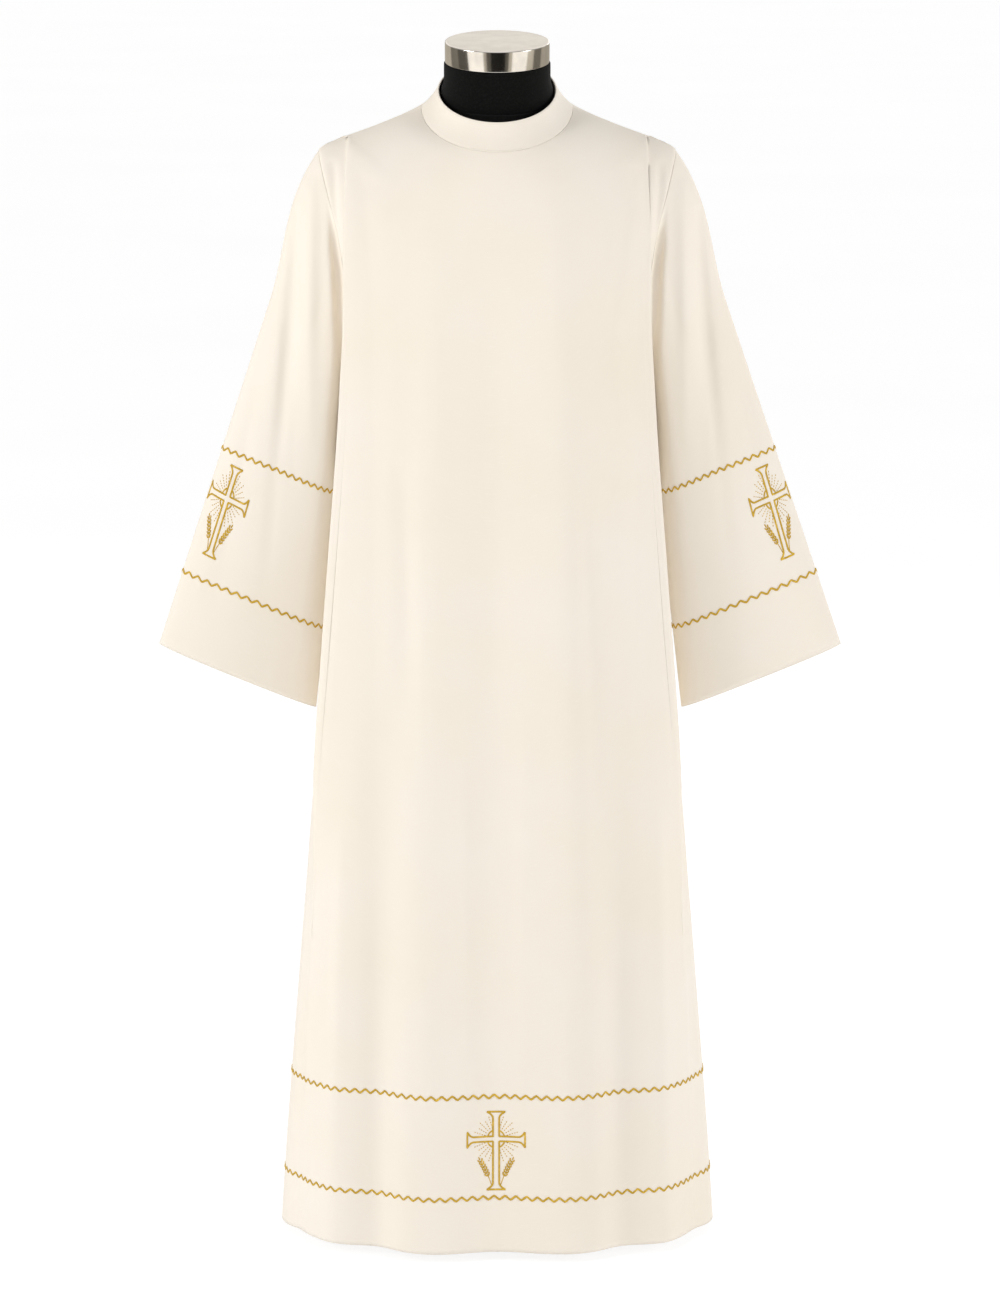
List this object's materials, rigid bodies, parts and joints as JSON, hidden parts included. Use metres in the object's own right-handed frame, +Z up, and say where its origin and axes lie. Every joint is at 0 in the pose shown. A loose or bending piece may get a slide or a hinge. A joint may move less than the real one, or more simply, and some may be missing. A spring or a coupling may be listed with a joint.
{
  "type": "alb on dress form",
  "caption": "Long white alb with stand collar, shoulder pleats and wide sleeves, hung on a limbless dress form with a capped neck.",
  "frame": {"origin": "middle of the underside of the dress form's round base, on the floor", "axes": "+Z up, the front of the alb faces -Y, and +X is to the right of someone who looks at the front"},
  "size_m": [0.866, 0.3555, 1.5459],
  "materials": {
    "cloth": "ivory plain-weave cloth, matt with a faint sheen",
    "gold_thread": "gold embroidery thread",
    "sewing_thread": "ivory sewing thread",
    "form_cover": "black close-knit cover",
    "cap_metal": "polished rim, satin top",
    "stand_metal": "black powder coat"
  },
  "bodies": {
    "root": {"front": "cloth", "back_left": "cloth", "back_right": "cloth", "sleeve_left": "cloth", "sleeve_right": "cloth", "collar": "cloth", "form_torso": "form_cover", "form_neck": "form_cover", "form_cap": "cap_metal", "form_pole": "stand_metal", "form_base": "stand_metal"}
  },
  "joints": []
}
